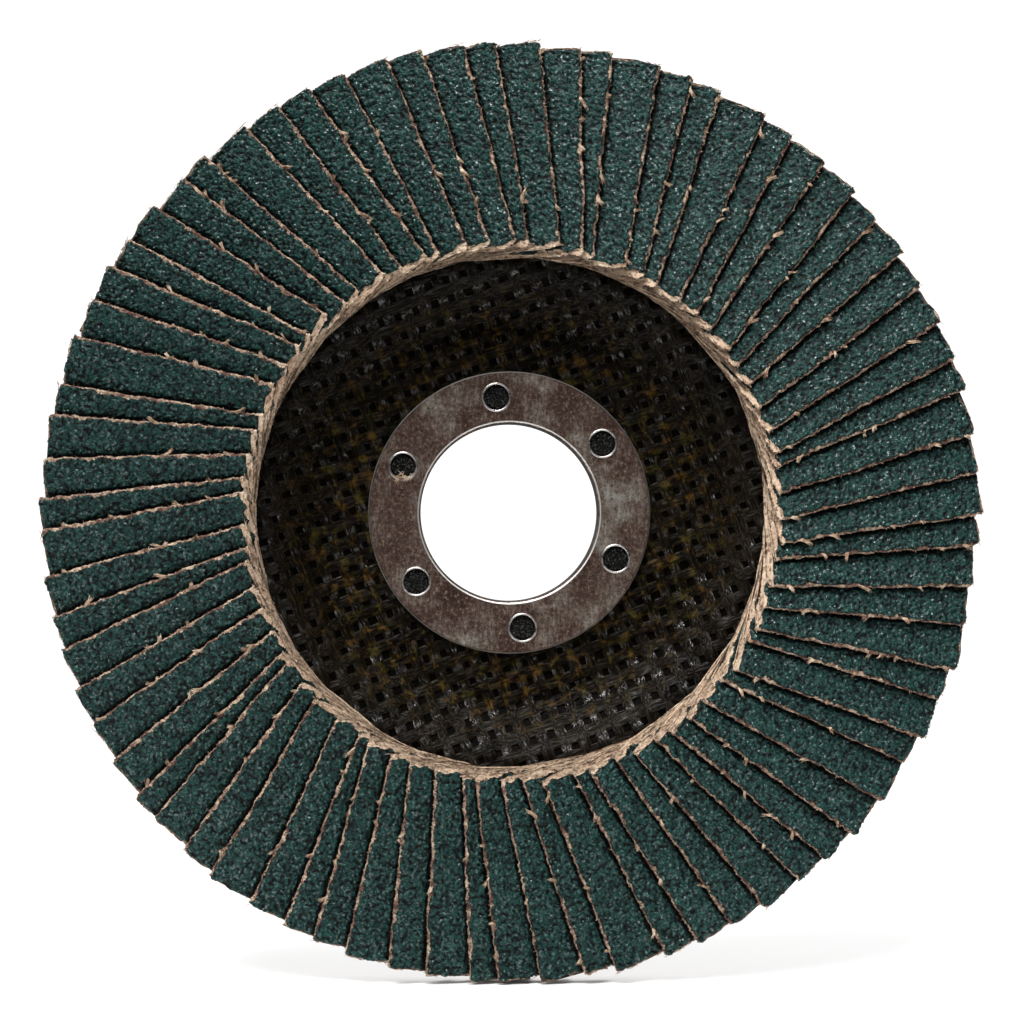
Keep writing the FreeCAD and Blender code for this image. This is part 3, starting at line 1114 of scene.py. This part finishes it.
def finish_cad_nodes():
    """Materials for the CAD nodes whose shape stays."""
    finishes = {
        "steel_bushing": steel,
        "rear_label": label,
        "adhesive_bed": epoxy,
        "glass_ply_inner_front": ply_edge,
        "glass_ply_inner_rear": ply_edge,
    }
    for name, material in finishes.items():
        slots = nodes[name].material_slots
        if not slots:
            nodes[name].data.materials.append(material)
        for item in slots:
            item.material = material


# ---------------------------------------------------------------- studio

def build_studio():
    """A pale floor under the disc, three softboxes and a world that is bright behind and above."""
    half_width, half_depth, middle_y, steps = 0.42, 0.36, 0.24, 96
    floor_z = cad_box[0][2]
    floor_mesh = bpy.data.meshes.new("floor")
    turns = [2 * math.pi * k / steps for k in range(steps)]
    rim = [(half_width * math.cos(turn), middle_y + half_depth * math.sin(turn), floor_z) for turn in turns]
    floor_mesh.from_pydata(rim, [], [tuple(range(steps))])
    floor = bpy.data.objects.new("floor", floor_mesh)
    bpy.context.scene.collection.objects.link(floor)
    material, tree, shader = new_material("pale_floor")
    shader.inputs["Base Color"].default_value = (0.92, 0.92, 0.92, 1)
    shader.inputs["Roughness"].default_value = 0.6
    floor_mesh.materials.append(material)

    def softbox(name, place_mm, size_mm, watts):
        light = bpy.data.lights.new(name, "AREA")
        light.shape = "RECTANGLE"
        light.size, light.size_y = size_mm[0] * MM, size_mm[1] * MM
        light.energy = watts
        lamp = bpy.data.objects.new(name, light)
        lamp.location = Vector(place_mm) * MM
        lamp.rotation_euler = (-lamp.location).to_track_quat("-Z", "Y").to_euler()
        bpy.context.scene.collection.objects.link(lamp)

    softbox("key_above", (-110, -270, 440), (360, 260), 4.8)
    softbox("fill_front", (80, -600, 260), (400, 300), 0.30)
    softbox("back_above", (0, 620, 460), (600, 300), 3.0)

    world = bpy.data.worlds.new("studio")
    bpy.context.scene.world = world
    world.use_nodes = True
    tree = world.node_tree
    axes = split(tree, tree.nodes.new("ShaderNodeTexCoord").outputs["Generated"])
    behind = ramp(tree, axes["Y"], [(0.0, 0.0), (0.15, 1.0)])
    above = ramp(tree, axes["Z"], [(0.75, 0.0), (0.95, 0.6)])
    light = sums(tree, "MAXIMUM", behind, above)
    light = sums(tree, "ADD", times(tree, light, 1.1), 0.03)

    # The world lights the disc from behind and above, but what the camera sees of it is white.
    seen = tree.nodes.new("ShaderNodeLightPath")
    light = sums(tree, "MAXIMUM", light, seen.outputs["Is Camera Ray"])
    tree.links.new(light, tree.nodes["Background"].inputs["Color"])
    bpy.context.scene.view_settings.view_transform = "Standard"


def build_camera():
    """Looks along the axis from a little left and below. Half of the offset is aimed, half is lens shift."""
    camera = bpy.data.cameras.new("camera")
    camera.sensor_width = 36.0
    camera.lens = camera.sensor_width * CAMERA_DISTANCE / FRAME_WIDTH
    camera.clip_start, camera.clip_end = 0.01, 10.0
    camera.shift_x = CAMERA_LEFT / 2 / FRAME_WIDTH
    camera.shift_y = -CAMERA_UP / 2 / FRAME_WIDTH
    shot = bpy.data.objects.new("camera", camera)
    face_y = cad_box[0][1] + 2.0 * MM
    shot.location = Vector((-CAMERA_LEFT * MM, face_y - CAMERA_DISTANCE * MM, CAMERA_UP * MM))
    target = Vector((-CAMERA_LEFT / 2 * MM, face_y, CAMERA_UP / 2 * MM))
    shot.rotation_euler = (target - shot.location).to_track_quat("-Z", "Y").to_euler()
    bpy.context.scene.collection.objects.link(shot)
    bpy.context.scene.camera = shot


build_camera()
build_flaps()
build_plies()
build_edge_burrs()
finish_cad_nodes()
build_studio()

bpy.context.view_layer.update()
